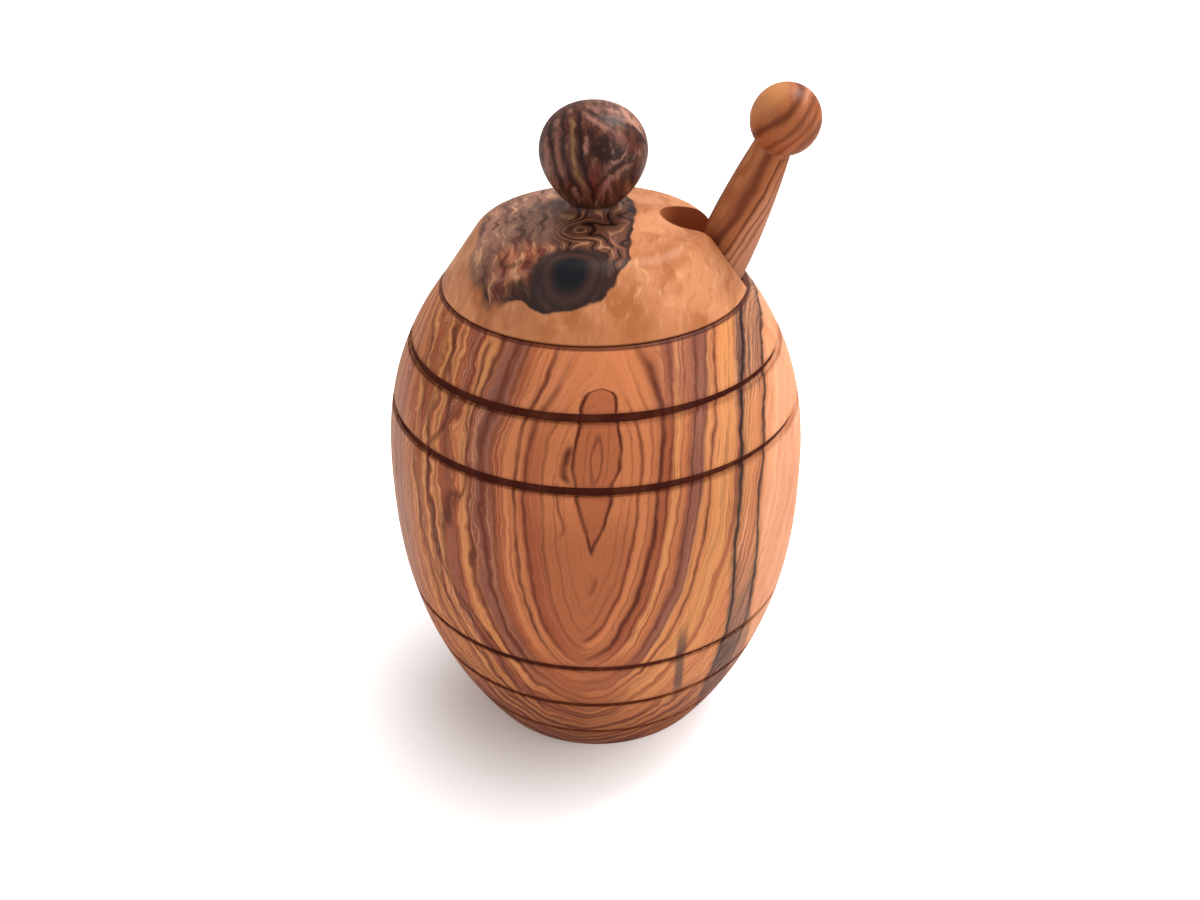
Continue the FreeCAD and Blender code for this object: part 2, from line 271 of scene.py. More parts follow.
class Finish(NodeSheet):
    """A material for one piece, with the tools that a grain is drawn with."""

    def __init__(self, name):
        self.material = bpy.data.materials.new(name)
        self.material.use_nodes = True
        super().__init__(self.material.node_tree)
        self.shader = self.nodes["Principled BSDF"]
        self.shader.inputs["Specular IOR Level"].default_value = SPECULAR

    def place(self, turn=(0, 0, 0), centre=(0, 0, 0)):
        """The wires x, y and z of a point on the piece, in millimetres from a centre."""
        spot = self.add("ShaderNodeTexCoord", output="Object")
        shifted = self.add("ShaderNodeMapping", {"vector_type": "POINT"},
                           {"Vector": spot, "Location": [-c for c in centre],
                            "Scale": (1 / MM, 1 / MM, 1 / MM)})
        turned = self.add("ShaderNodeMapping", {"vector_type": "POINT"},
                          {"Vector": shifted, "Rotation": turn})
        split = self.add("ShaderNodeSeparateXYZ", None, {0: turned})
        return [Wire(self, socket) for socket in split.socket.node.outputs]

    def noise(self, x, y, z, detail=2, rough=0.5):
        """Smooth noise from -0.5 to 0.5 over three wires, one unit to a bump."""
        spot = self.add("ShaderNodeCombineXYZ", None, {0: x, 1: y, 2: z})
        field = self.add("ShaderNodeTexNoise", {"noise_dimensions": "3D"},
                         {"Vector": spot, "Scale": 1.0, "Detail": detail, "Roughness": rough})
        return field - 0.5

    def pores(self, x, y, z):
        """Noise for the short pores, which run along z."""
        width, length = PORE_SIZE
        return self.noise(x / width, y / width, z / length, detail=1)

    def step(self, value, low, high, start, end):
        """A soft step from one number at low to another at high."""
        return self.add("ShaderNodeMapRange", {"interpolation_type": "SMOOTHSTEP"},
                        {"Value": value, "From Min": low, "From Max": high,
                         "To Min": start, "To Max": end})

    def rise(self, value, low, high):
        """A soft step from 0 at low to 1 at high."""
        return self.step(value, low, high, 0.0, 1.0)

    def fall(self, value, low, high):
        """A soft step from 1 at low to 0 at high."""
        return self.step(value, low, high, 1.0, 0.0)

    def near(self, value, place, width):
        """A soft line: 1 at a place, falling to 0 at half its width to either side."""
        return self.fall(abs(value - place), 0.0, width / 2)

    def band(self, value, low, high, soft):
        """A soft band: 1 between low and high."""
        return self.rise(value, low - soft, low + soft) * self.fall(value, high - soft, high + soft)

    def route(self, value, span, bounds, points):
        """The place of a route at a value, from points (value, place) chosen along it."""
        start, length = span[0], span[1] - span[0]
        low, width = bounds[0], bounds[1] - bounds[0]
        scaled = [((at - start) / length, (place - low) / width) for at, place in sorted(points)]
        curve = self.add("ShaderNodeFloatCurve", {"points": scaled},
                         {"Value": (value - start) / length})
        return curve * width + low

    def tones(self, value, span, stops, look):
        """A colour that follows a value through stops (value, name of a colour of the look)."""
        places = [(at / span, getattr(look, name)) for at, name in stops]
        return self.add("ShaderNodeValToRGB", {"stops": places}, {"Fac": value / span})

    def mix(self, share, first, second):
        """Mixes two colours, from all the first at a share of 0 to all the second at 1."""
        under, over = [tone if isinstance(tone, Wire) else (*tone, 1) for tone in (first, second)]
        return self.add("ShaderNodeMix", {"data_type": "RGBA"}, {0: share, 6: under, 7: over},
                        output=2)

    def coats(self, tone, *coats):
        """Lays coats of (share, colour) over a tone, one after the other."""
        for share, coat in coats:
            tone = self.mix(share, tone, coat)
        return tone

    def surface(self, tone, roughness):
        """Gives the finish its colour and its roughness."""
        self.feed(self.shader.inputs["Base Color"], tone)
        self.feed(self.shader.inputs["Roughness"], roughness)

    def relief(self, height, strength):
        """Gives the finish a shallow bump from a height."""
        bump = self.add("ShaderNodeBump", None,
                        {"Height": height, "Strength": strength, "Distance": RELIEF_DEPTH})
        self.feed(self.shader.inputs["Normal"], bump)

    def dress(self, piece):
        """Puts the finish on a piece."""
        piece.data.materials.clear()
        piece.data.materials.append(self.material)


# The barrel. Sizes are in millimetres: heights from the foot, and places across the front counted
# from the middle, with the left below 0. A pair of numbers is where a soft step starts and ends.
# A noise is divided by the size of its bumps across and along the grain.

HEIGHTS = (0, 100)
ACROSS = (-45, 45)

# the middle line of the nested ovals, as (height, across)
OVAL_MIDDLE = ((0, -2.6), (42, -2.3), (62, -1), (72, -0.5), (80, -0.1), (88, 0.5), (98, 0.9))
MIDDLE_BOUNDS = (-6, 6)

# half the width of the small closed oval, as (height, half width), drawn for one eye width
OVAL_OUTLINE = (
    (54, -4), (64, 0), (67, 1.0), (70, 2.1), (74, 2.9), (76.5, 3.1), (78.5, 3.8), (81, 4.3),
    (84, 4.0), (86, 3.4), (88.5, 2.8), (91, 2.6), (91.9, 1.8), (92.3, 0), (94, -4))
OUTLINE_BOUNDS = (-4, 6)
OUTLINE_EYE_WIDTH = 3.8

# the smaller oval inside it
PUPIL_HEIGHT = 81
PUPIL_HALF_HEIGHT = 3.8
PUPIL_HALF_WIDTH = 0.9

# the eye in the ovals' middle lies lower at the back
BACK_START = (-14, 30)
BACK_DROP = 26

# how far the first oval reaches below the eye, how it tapers there, and how round the rings are
OVAL_LENGTH = 27
OVAL_TAPER = 2.2
ROUNDNESS = 1.3

# where the low part ends, in which the ovals open wide, and where their rounder crown starts
LOW_END = (22, 44)
CROWN_START = (84, 93)

# broad tones, as (place among the rings, colour), to the left and right of the ovals
RING_SPAN = 45
LEFT_BANDS = (
    (9, "heart"), (9.8, "brown"), (12.6, "brown"), (13.4, "light"), (16.4, "light"),
    (17.2, "brown"), (18, "heart"), (19, "plum"), (19.8, "deep"), (20.5, "plum"), (21.4, "plum"),
    (22.4, "heart"), (23.6, "gold"), (24.8, "light"), (25.4, "brown"), (26.6, "plum"),
    (27.4, "brown"), (28.2, "gold"), (29.4, "light"), (30, "deep"), (31, "gold"), (32.8, "brown"),
    (33.8, "gold"), (35.6, "brown"), (36.8, "gold"), (38.2, "heart"), (39, "plum"),
    (39.8, "light"), (41.5, "brown"), (42.3, "gold"), (45, "heart"))
RIGHT_BANDS = (
    (0, "heart"), (7.3, "heart"), (8, "brown"), (8.8, "light"), (10.7, "heart"), (11.4, "deep"),
    (12.3, "brown"), (13.4, "brown"), (14.2, "gold"), (15.4, "light"), (16.2, "heart"),
    (17.3, "plum"), (18.8, "plum"), (19.6, "gold"), (20.8, "light"), (22.4, "gold"), (25, "gold"),
    (26, "brown"), (27, "gold"), (31, "light"), (34, "gold"), (37, "light"), (41, "gold"),
    (45, "light"))

# veins that follow the rings, as (place among the rings, width, darkness)
LEFT_VEINS = (
    (5.2, 0.4, 0.2), (7.0, 0.5, 0.35), (9.2, 0.6, 0.5), (12.2, 0.9, 0.7), (14.3, 1.0, 0.85),
    (16.4, 0.5, 0.3), (18.2, 0.8, 0.5), (20.2, 0.9, 0.6), (22.4, 1.0, 0.8), (25.6, 0.6, 0.5),
    (28.6, 0.7, 0.5), (32, 0.8, 0.5))
RIGHT_VEINS = (
    (4.8, 0.4, 0.25), (6.4, 0.5, 0.35), (7.9, 0.7, 0.7), (9.8, 0.5, 0.35), (11.5, 1.1, 0.85),
    (13.2, 0.6, 0.6), (15.2, 0.5, 0.5), (17.2, 0.9, 0.7), (18.9, 0.6, 0.5), (20.8, 0.8, 0.8),
    (23.4, 0.4, 0.35))

# veins in front with a route of their own, as (width, darkness, route), the route as
# (height, across) from the top down
FRONT_VEINS = (
    (1.2, 0.85, ((97, -18), (87, -22), (77, -23), (71, -24.5), (68, -27.2), (57, -28.2),
                 (49, -27), (43, -22.7), (38, -20.3), (30, -16), (18, -11))),
    (1.4, 0.85, ((97, -25.2), (90, -26.1), (83, -26.3), (78, -29.3), (73, -30.6), (64, -30.4),
                 (54, -29.4), (47, -26.5), (40, -22.5), (32, -19), (20, -15))),
    (1.1, 0.7, ((96, -29.3), (85, -31.7), (79, -33.4), (69, -34), (60, -33.1), (50, -30.6),
                (43, -27.4), (35, -23.5), (26, -19.7), (15, -15))),
    (3.4, 0.85, ((71, -25.6), (67.5, -26.8), (63, -28))),
    (1.0, 0.7, ((89, -26.2), (85, -30), (80, -30.6), (76, -29.6))),
    (2.3, 1.0, ((83.4, -4.8), (81.4, -5.4), (79, -5.8), (77.2, -4.8))),
    (1.0, 0.6, ((77, -6.8), (72, -6.6), (69, -5.9), (67, -6.6))),
    (1.3, 0.65, ((58, -0.3), (56, -0.7), (54.5, -1.3))),
)

# the woods at the right: where the veins end, the smoky wood, and the sapwood beyond it
VEINS_END = (24.5, 25)
SMOKY_START = (24.6, 25.4)
SMOKY_END = (30.6, 31.2)
SAPWOOD_START = (30.8, 31.8)

# patches of other wood: where each lies across the front, and how high it stands
PURPLE_ACROSS, PURPLE_START = (10.5, 20.5), (85, 92)
PATCH_ACROSS, PATCH_HEIGHTS = (25.4, 30), (10, 34)
TAIL_ACROSS, TAIL_HEIGHTS = (15.2, 17), (22, 42)
CALM_HEIGHTS = (20, 40)

# where the painted lilac reflection at the far left ends, to the right and to the back
LILAC_REFLECTION_END, LILAC_REFLECTION_DEPTH = (-39, -33), (-16, 4)

# how much wider a vein's soft line is than the vein
RING_VEIN_SPREAD = 1.5
FRONT_VEIN_SPREAD = 1.3

# the two black streaks, each a wide soft line and a narrow dark one, as (across, width, darkness)
BLACK_STREAKS = ((25.9, 3.4, 0.35), (26, 1.3, 1.0), (30.5, 2.6, 0.3), (30.5, 1.0, 0.9))

# half the width of the grooves above and below the belly, and how much less it is at the right
BELLY_HEIGHT = 50
HIGH_GROOVE_HALF = 0.82
LOW_GROOVE_HALF = 0.62
# the narrowing is painted light: the lamp at the right lights the grooves there
GROOVE_LIT_NARROWING = 0.22

# only wood this far from the axis is scorched, so that the hollow stays clean
SCORCH_RADIUS = (30.9, 31.3)

# the browner foot, its arcs, and painted shade at the edge below the rim's height
FOOT_END = (0, 36)
ARCS_END = (14, 28)
RIM_SHADE_EDGE = (RIM_HEIGHT - 0.6, RIM_HEIGHT - 0.25)


def barrel_grain(wood):
    """Where a point of the barrel lies across the grain and beside the ovals."""
    x, y, z = wood.place()
    back = wood.rise(y, *BACK_START)

    # the grain bends slowly, then wobbles in small steps, most at the left and at the back
    sway = wood.noise(x / 17, y / 17, z / 42, detail=1)
    wobble = wood.noise(x / 5, y / 5, z / 10)
    ripple = wood.noise(x / 1.8, y / 1.8, z / 3, detail=1)
    wild = 1.0 + 1.1 * wood.fall(x, -24, -14) + 0.6 * back
    across = x + (sway + wobble * 1.5 + ripple * 0.7) * wild

    # low down the ovals open wide and waver, and at the back their middle lies to the right
    middle = wood.route(z, HEIGHTS, MIDDLE_BOUNDS, OVAL_MIDDLE) + back * (9 + 0.06 * z)
    low = wood.fall(z, *LOW_END)
    aside = ((across - middle + low * wobble * 5) ** 2.0 + low * 14) ** 0.5
    return SimpleNamespace(
        x=x, y=y, z=z, back=back, front=1 - back, wobble=wobble, ripple=ripple, across=across,
        low=low, aside=aside,
        right=wood.rise(across - middle, -1.2, 1.2),
        calm=wood.fall(aside, 5, 14) * wood.band(z, *CALM_HEIGHTS, 4),
        cloud=wood.noise(x / 6, y / 6, z / 14))


def barrel_rings(wood, look, grain):
    """Adds to the grain a point's place among the rings, and the streaks and fibres along them."""
    x, y, z, aside = grain.x, grain.y, grain.z, grain.aside

    # the rings below and above the eye
    lift = z - (look.eye_height - grain.back * BACK_DROP)
    below = ((lift * -1.0).most(0.0) / OVAL_LENGTH) ** OVAL_TAPER * look.eye_width
    above = lift.most(0.0) * (0.5 - grain.right * (0.5 - wood.fall(aside, 6, 15) * 0.35))

    # the rings are rounder at the top of the barrel, and waver
    top = wood.rise(z, *CROWN_START)
    bowed = (aside ** 2.0 + top * 18) ** 0.5
    ring = (bowed ** ROUNDNESS + (below + above) ** ROUNDNESS) ** (1 / ROUNDNESS)
    ring = ring + wood.noise(x / 9, y / 9, z / 16, detail=1) * (1.2 + grain.low * 2.5)
    ring = ring + (y + 6).most(0.0) * 0.22 + (y + 24).most(0.0) * wood.fall(x, -38, -26) * 0.3
    grain.ring = ring.fold(RING_SPAN)
    grain.crown = top * wood.fall(aside, 3, 9)
    grain.streak = wood.noise(grain.ring * 1.6, y / 40, z / 50, detail=3, rough=0.65)
    grain.fibre = wood.noise(grain.ring * 3.4, y / 9, z / 26)


def barrel_bands(wood, look, grain):
    """Broad tones along the rings, calmer low in front and over the ovals."""
    left = wood.tones(grain.ring, RING_SPAN, LEFT_BANDS, look)
    right = wood.tones(grain.ring, RING_SPAN, RIGHT_BANDS, look)
    return wood.coats(
        wood.mix(grain.right, left, right),
        (grain.crown * 0.5, look.light),
        (grain.calm * 0.8, look.heart))


def barrel_streaks(wood, look, grain, tone):
    """Fine streaks and fibres along the grain, each a little lighter or darker."""
    streak, fibre = grain.streak, grain.fibre
    plain = 0.15 + wood.rise(grain.ring, 7, 13) * 0.85
    beside_oval = wood.rise(grain.z, 64, 75) * wood.fall(grain.aside, 6, 14)
    leftmost = wood.fall(grain.across, -26, -14)
    purple = wood.band(grain.across, *PURPLE_ACROSS, 2) * wood.rise(grain.z, *PURPLE_START)
    return wood.coats(
        tone,
        (wood.rise(streak, 0.02, 0.2) * plain * 0.6, look.deep),
        (wood.fall(streak, -0.24, -0.04) * plain * 0.4, look.gold),
        (beside_oval * 0.8, look.light),
        (wood.rise(fibre, 0.02, 0.16) * plain * (0.35 + leftmost * 0.4), look.brown),
        (wood.fall(fibre, -0.18, -0.04) * plain * (0.3 + leftmost * 0.4), look.sap),
        (purple * (0.55 + fibre * 1.4), look.plum))


def barrel_sapwood(wood, look, grain):
    """Pale cloudy wood beyond the black streaks."""
    return wood.coats(
        look.sap,
        (wood.rise(grain.cloud, -0.05, 0.2) * 0.6, look.light),
        (wood.rise(grain.fibre, 0.0, 0.2) * 0.35, look.heart),
        (wood.fall(grain.streak, -0.2, 0.0) * 0.5, look.cream))


def barrel_sides(wood, look, grain, tone):
    """Greyer wood between the black streaks, sapwood beyond them, a painted lilac reflection at the
    far left.
    """
    fibre, across = grain.fibre, grain.across
    smoky = wood.rise(across, *SMOKY_START) * wood.fall(across, *SMOKY_END)
    greyed = wood.rise(grain.z, 82, 92).most(wood.fall(grain.z, 40, 64))
    # painted reflection: a lilac tint along the far left edge
    far_left_reflection = wood.fall(grain.x, *LILAC_REFLECTION_END) * wood.fall(grain.y, *LILAC_REFLECTION_DEPTH)
    return wood.coats(
        tone,
        (smoky * (0.1 + greyed * 0.6), look.smoke),
        (smoky * wood.rise(fibre, -0.02, 0.1) * (0.2 + greyed * 0.35), look.soot),
        (smoky * wood.fall(fibre, -0.2, -0.06) * 0.6, look.sap),
        (far_left_reflection * 0.6, look.lilac_reflection),
        (wood.rise(across, *SAPWOOD_START), barrel_sapwood(wood, look, grain)))


def ring_veins(wood, grain):
    """How dark the hairlines and veins are that follow the rings."""
    hair = wood.noise(grain.ring * 0.6 + 9, grain.y / 50, grain.z / 60)
    hairs = wood.near(hair, 0.07, 0.03).most(wood.near(hair, -0.09, 0.03))
    vein = hairs * wood.rise(grain.ring, 9, 14) * 0.4
    for side, veins in ((1 - grain.right, LEFT_VEINS), (grain.right, RIGHT_VEINS)):
        for place, width, share in veins:
            line = wood.near(grain.ring, place, width * RING_VEIN_SPREAD)
            vein = vein.most(line * share * side)
    faded = (1 - grain.calm * 0.7) * (1 - grain.crown * 0.9)
    return vein * wood.fall(grain.across, *VEINS_END) * faded


def front_veins(wood, grain, vein):
    """Adds the veins in front, each along a route of its own."""
    for width, share, points in FRONT_VEINS:
        path = wood.route(grain.z, HEIGHTS, ACROSS, points) + grain.ripple * 0.9
        length = wood.band(grain.z, points[-1][0], points[0][0], 1)
        line = wood.near(grain.across - path, 0.0, width * FRONT_VEIN_SPREAD)
        vein = vein.most(line * length * share * grain.front)
    return vein


def oval_veins(wood, grain, oval, vein):
    """Adds the outlines of the small closed oval and of the smaller one inside it."""
    flat = grain.aside / PUPIL_HALF_WIDTH
    pupil = (reach(flat, (grain.z - PUPIL_HEIGHT) / PUPIL_HALF_HEIGHT) - 1) * PUPIL_HALF_WIDTH
    outer = wood.near(pupil, 1.1, 0.5) * wood.band(grain.z, 76, 87, 1)
    vein = vein.most(wood.near(oval, 0.0, 1.3) * grain.front)
    vein = vein.most(wood.near(pupil, 0.0, 0.7) * 0.55 * grain.front)
    return vein.most(outer * 0.3 * grain.front)


def barrel_veins(wood, look, grain, tone):
    """The small closed oval, and all the thin dark veins over the bands."""
    half = wood.route(grain.z, HEIGHTS, OUTLINE_BOUNDS, OVAL_OUTLINE)
    oval = grain.aside - half * (look.eye_width / OUTLINE_EYE_WIDTH)
    vein = oval_veins(wood, grain, oval, front_veins(wood, grain, ring_veins(wood, grain)))
    patchy = 0.9 + wood.noise(grain.x / 3, grain.y / 3, grain.z / 6, detail=1)
    return wood.coats(
        tone,
        (wood.fall(oval, -0.4, 0.2) * grain.front * 0.6, look.brown),
        ((vein * patchy).least(1.0), look.vein))


def black_streaks(wood, look, grain, tone):
    """Two black streaks with a smoky patch near the foot, and a grey tail beside them."""
    z = grain.z
    bent = grain.across - wood.rise(z, 62, 98) * 0.6 + wood.fall(z, 14, 46) * 4
    patch = wood.band(bent, *PATCH_ACROSS, 0.6) * wood.band(z, *PATCH_HEIGHTS, 5)
    tail = wood.band(grain.across, *TAIL_ACROSS, 0.5) * wood.band(z, *TAIL_HEIGHTS, 4)
    lines = [(wood.near(bent, place, width) * share, look.black)
             for place, width, share in BLACK_STREAKS]
    return wood.coats(
        tone, *lines,
        (patch * wood.rise(grain.streak, -0.3, 0.0) * 0.85, look.soot),
        (patch * wood.rise(grain.fibre, 0.0, 0.12) * 0.8, look.black),
        (tail * 0.8, look.soot))


def groove_scorch_and_shade(wood, look, grain):
    """How dark the turned grooves and the wood beside them are: scorch, partly painted shade."""
    # painted light: the grooves' dark paint is narrower at the right, where the lamp lights them
    lit_narrowing = wood.rise(grain.x, 4, 26) * GROOVE_LIT_NARROWING
    scorched_and_shaded = []
    for height in look.grooves:
        half = (HIGH_GROOVE_HALF if height > BELLY_HEIGHT else LOW_GROOVE_HALF) - lit_narrowing
        beside = wood.fall(abs(grain.z + grain.wobble * 0.3 - height), 0.6, 1.6) * 0.35
        inside = wood.fall(abs(grain.z + grain.ripple * 0.12 - height) - half, -0.05, 0.1)
        scorched_and_shaded.append(beside.most(inside))
    outside = wood.rise(reach(grain.x, grain.y), *SCORCH_RADIUS)
    return reduce(Wire.most, scorched_and_shaded) * outside


def barrel_ends(wood, look, grain, tone):
    """The foot is browner, with arcs, and painted shade darkens the edge under the lid."""
    arcs = wood.noise(grain.ring * 0.7, grain.y / 30, grain.z / 30)
    return wood.coats(
        tone,
        (wood.fall(grain.z, *FOOT_END) * 0.62, look.foot),
        (wood.fall(grain.z, *ARCS_END) * wood.rise(arcs, -0.03, 0.07) * 0.9, look.deep),
        # painted shade at the barrel's edge under the lid
        (wood.rise(grain.z, *RIM_SHADE_EDGE) * 0.8, look.burnt_and_shade))


def barrel_finish(look):
    """Straight-grained olive wood with nested ovals in front and black streaks at the right."""
    wood = Finish("barrel_wood_finish")
    grain = barrel_grain(wood)
    barrel_rings(wood, look, grain)
    tone = barrel_bands(wood, look, grain)
    tone = barrel_streaks(wood, look, grain, tone)
    tone = barrel_sides(wood, look, grain, tone)
    tone = barrel_veins(wood, look, grain, tone)
    tone = black_streaks(wood, look, grain, tone)
    # the grooves' scorch, partly painted shade
    scorch_and_shade = groove_scorch_and_shade(wood, look, grain)
    tone = wood.mix((scorch_and_shade * (0.96 + grain.cloud * 0.5)).least(1.0), tone, look.burnt_and_shade)
    tone = barrel_ends(wood, look, grain, tone)
    pore = wood.pores(grain.x, grain.y, grain.z)
    tone = wood.mix(wood.rise(pore, 0.12, 0.3) * 0.3, tone, look.vein)
    wood.surface(tone, 0.5 + grain.streak * 0.25 + scorch_and_shade * 0.3)
    wood.relief(pore * -0.5 + grain.streak * 0.4, 0.25)
    return wood


# The lid. Sizes are in millimetres: heights from the foot, and places as (x, y) from the pot's
# axis, x to the right and y to the back. A pair called start or end is that of a soft step.

BURL_CENTRE = (-7, -6)
BURL_OUTLINE = (
    # angle in degrees from the left through the front, and radius
    (0, 15), (13, 16.6), (33, 17.4), (52, 18.2), (68, 17.4), (80, 18.6), (92, 19.6), (105, 20.2),
    (118, 20.2), (131, 19.2), (150, 15.6), (180, 14.4), (205, 16.4), (225, 19.5), (240, 26),
    (258, 34), (275, 34), (300, 26), (320, 19), (340, 15.5), (360, 15))
OUTLINE_ANGLES = (0, 360)
OUTLINE_RADII = (0, 40)

# the burl's waves, each from a dark hollow to a russet crest
WAVE_SPAN = 1.3
WAVE_TONES = ((0, "dark"), (0.15, "dark"), (0.4, "burl"), (0.9, "burl"), (1.3, "russet"))

# the small eye under the neck, the reddish pocket and the round knot
EYE_CENTRE, EYE_SQUASH = (-2.3, -9.5), 1.3
POCKET_CENTRE = (-13, -17)
KNOT_CENTRE, KNOT_SQUASH = (-4.1, -21.2), 1.25

# the slot for the dipper, round at its inner end, and the seam's painted shade just above the rim
SLOT_CENTRE = 18.3
SLOT_RADIUS = 5.9
SLOT_START = (11, 12)
SEAM_SHADE_END = (RIM_HEIGHT + 0.15, RIM_HEIGHT + 0.6)

# where the knob starts above the neck, its middle, and the painted shade on its underside
KNOB_START = (112.8, 114)
KNOB_HEIGHT = 122
UNDERSIDE_SHADE_END = (112.5, 116)

# the reach of the knob's streaks, and its spots, as (across, up) from its middle
KNOB_SPAN = (-10, 10)
# the blush spot is a painted sheen at the knob's upper right
SHEEN_SPOT = (6.3, 5.4)
DARK_SPOT = (2.4, -1.5)
MAUVE_SPOT = (4.2, 0.6)
KNOB_STREAKS = (
    # colour, width, share, whether it runs level, and its route as (along, aside)
    ("red", 4.0, 0.8, False, ((-8.5, 0.4), (-6, -0.1), (-4, 0.6))),
    ("mauve", 1.4, 0.8, False, ((-1.8, -1.2), (-0.5, -1.1), (0.8, -1.1))),
    ("dark", 1.5, 0.95, False, ((-9, 0.1), (-5, -1.2), (-3, -1.8), (1.5, -2.3), (6.5, -2.3))),
    ("ochre", 1.5, 0.9, False, ((-7, -1.9), (-3, -3.1), (0, -3.5), (3, -3.6), (4.5, -3.4))),
    ("dark", 1.3, 0.9, False, ((-8, -2.4), (-4, -4.4), (0, -5.2), (4, -5.4), (6.5, -4.6))),
    ("mauve", 1.6, 0.6, False, ((-6, -4.9), (-2, -6.2), (2, -6.6), (3.5, -6.5))),
    ("dark", 1.2, 0.85, False, ((-7, -5), (-3, -6.9), (1, -7.7), (5, -7.3))),
    ("mauve", 1.5, 0.75, False, ((-6, -6.7), (-2, -8.2), (1, -8.6), (3.5, -8.3))),
    ("blush", 1.6, 0.8, False, ((3.2, -6.7), (4, -6.5), (5, -6.3))),
    ("dark", 1.6, 0.9, True, ((-1.2, 5.9), (1.7, 4.5), (4.7, 3.7), (7.7, 2.7), (9.4, 0.6))),
    ("mauve", 1.9, 0.85, True, ((-1.8, 5.2), (0, 3.8), (1.7, 2.7), (3.4, 2.0))),
    ("blush", 1.3, 0.6, True, ((2.6, -3.9), (3.6, -3.4), (4.9, -2.4), (5.9, -0.9))),
    ("mauve", 1.8, 0.7, True, ((1.2, -8), (2.6, -6.4), (4.6, -4.6), (6.5, -3.4))),
    ("dark", 1.3, 0.8, True, ((0.2, -7.6), (1.6, -6), (3.4, -4.7), (5.5, -3.2), (8, -1.6))),
    # painted sheen: the blush streak at the upper right
    ("blush", 1.2, 0.6, True, ((2.2, 6.2), (4.5, 5.7), (6.6, 4.6), (8, 3.2))),
    ("dark", 1.2, 0.7, True, ((-0.5, 7.6), (2.5, 7.7), (5, 7))),
)


def lid_grain(wood):
    """The lid's clouds and flecks, how far inside the burl a point lies, and the burl's waves."""
    x, y, z = wood.place()
    curl = wood.noise(x / 6, y / 6, z / 6)

    # the burl's jagged outline about its centre, softer at the left
    dx, dy = x - BURL_CENTRE[0], y - BURL_CENTRE[1]
    angle = dy.angle(dx)
    degrees = angle * (180 / math.pi) + 180
    outline = wood.route(degrees, OUTLINE_ANGLES, OUTLINE_RADII, BURL_OUTLINE)
    jagged = wood.noise(x / 3.4, y / 3.4, z / 3.4)
    spokes = wood.noise(angle * 5, 0.0, 0.0)
    leftish = wood.fall(x, -19, -13)
    inside = outline - reach(dx, dy) + jagged * 1.5 + leftish * spokes * 3

    # long waves, which turn to arches round the small eye
    warp = wood.noise(x / 5.5, y / 5.5, z / 5.5, detail=1)
    twist = wood.noise(x / 2 + 7, y / 2.6, z / 2, detail=1)
    eye = gap(x, y, EYE_CENTRE, EYE_SQUASH)
    drawn = wood.fall(eye, 1.5, 6)
    wave = ((x * 0.8 + warp * 7) * (1 - drawn) + eye * 1.2 * drawn + twist * 1.3).fold(WAVE_SPAN)

    zigzag = wood.noise(x / 7 + 2, y / 2.4, z / 2.4, detail=1)
    return SimpleNamespace(
        x=x, y=y, z=z, jagged=jagged, spokes=spokes, leftish=leftish, inside=inside, warp=warp,
        wave=wave,
        burl=wood.rise(inside / (leftish * 3 + 1), -0.15, 0.3),
        cloud=wood.noise((x + curl * 6) / 5, (y + curl * 9) / 9, z / 9, detail=3),
        fleck=wood.noise((x + curl * 5) / 0.9, (y + curl * 5) / 3.2, z / 2),
        lines=wood.noise((x + zigzag * 2.6 + warp * 3) / 1.15, y / 7, z / 7))


def pale_wood(wood, look, grain):
    """Pale mottled wood, with painted shade in front and brown streaks near the edge."""
    x, y, z = grain.x, grain.y, grain.z
    stain = wood.noise(x / 1.4, y / 6, z / 6 + 5) + wood.fall(z, 99, 104) * 0.1
    return wood.coats(
        look.pale,
        (wood.rise(grain.cloud, -0.12, 0.2), look.cloud),
        (wood.rise(grain.fleck, 0.03, 0.25) * 0.45, look.cloud),
        (wood.fall(grain.fleck, -0.28, -0.06) * 0.55, look.fleck),
        (wood.rise(stain, 0.12, 0.3) * 0.4, look.stain),
        # painted shade over the lid's front, low down
        (wood.fall(y, -30, -16) * wood.fall(z, 99, 106) * 0.6, look.cloud))


def burl_swirls(wood, look, grain):
    """Light squiggles on dark waves, greyer and lined at the back left."""
    x, y, z, wave, lines = grain.x, grain.y, grain.z, grain.wave, grain.lines
    patches = wood.noise(x / 6 + 4, y / 6, z / 6)
    squiggle = wood.rise(wave, 1.0, 1.2) * wood.rise(patches, -0.08, 0.06)
    greyer = wood.rise(y, -18, -9) * wood.fall(x, -9, -4) * (0.85 + patches)
    return wood.coats(
        wood.tones(wave, WAVE_SPAN, WAVE_TONES, look),
        (squiggle * 0.62, look.tan),
        (wood.fall(patches, -0.25, -0.08) * 0.6, look.dark),
        (greyer.least(1.0) * 0.85, look.grey),
        (wood.rise(lines, 0.01, 0.12) * greyer * 0.9, look.burl),
        (wood.rise(lines, 0.12, 0.2) * greyer * 0.35, look.dark),
        (wood.fall(lines, -0.2, -0.08) * greyer * 0.85, look.fleck))


def burl_pocket(wood, look, grain, tone):
    """A reddish pocket at the left, with red and light lines in it."""
    pocket = gap(grain.x, grain.y, POCKET_CENTRE) + grain.warp * 5
    lined = wood.fall(pocket, 5, 9)
    return wood.coats(
        tone,
        (wood.fall(pocket, 3, 7) * (0.35 + grain.wave * 0.4), look.salmon),
        (lined * wood.rise(grain.lines, 0.02, 0.12) * 0.8, look.red),
        (lined * wood.fall(grain.lines, -0.2, -0.08) * 0.7, look.fleck))


def burl_edge(wood, look, grain, tone):
    """The burl is dark at its edge, with a mauve line inside it at the front."""
    inside = grain.inside
    lower = wood.fall(grain.y, -14, -8)
    leg = wood.fall(inside, 1.8, 3.4) * lower * wood.band(grain.x, -16, -5, 2)
    return wood.coats(
        tone,
        (wood.fall(inside, 0.3, 1.8) * (0.75 - grain.leftish * 0.35), look.dark),
        (leg * 0.8, look.dark),
        (wood.near(inside, 3.4, 1.0) * lower * 0.5, look.mauve),
        (wood.near(inside, 4.6, 1.2) * lower * 0.5, look.dark))


